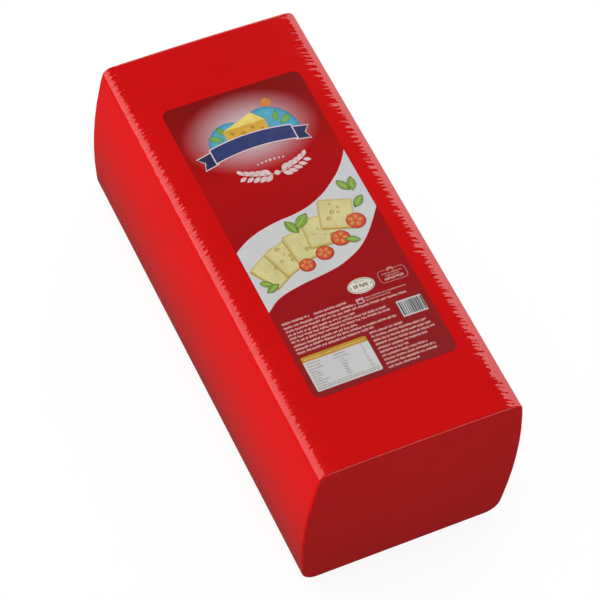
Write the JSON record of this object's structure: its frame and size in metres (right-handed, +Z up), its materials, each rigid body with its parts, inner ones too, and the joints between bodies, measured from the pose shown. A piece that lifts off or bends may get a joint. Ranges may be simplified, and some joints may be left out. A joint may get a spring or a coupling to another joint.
{
  "type": "film-wrapped block of semi-hard cheese",
  "caption": "Long bar of sliceable semi-hard cheese in a tight glossy red film, with barrelled sides, rounded long edges, flat ends and a printed label on top.",
  "frame": {"origin": "middle of the flat base, on the surface that the bar lies on", "axes": "+Z up through the label, +Y along the bar from the end nearest the viewer to the far end, +X across the bar"},
  "size_m": [0.1152, 0.26, 0.1],
  "materials": {
    "red_film": "glossy shrink film drawn tight, finely gathered along the long top edges",
    "printed_label": "thin glossy printed film label"
  },
  "bodies": {
    "root": {"wrapped_block": "red_film", "label": "printed_label"}
  },
  "joints": []
}
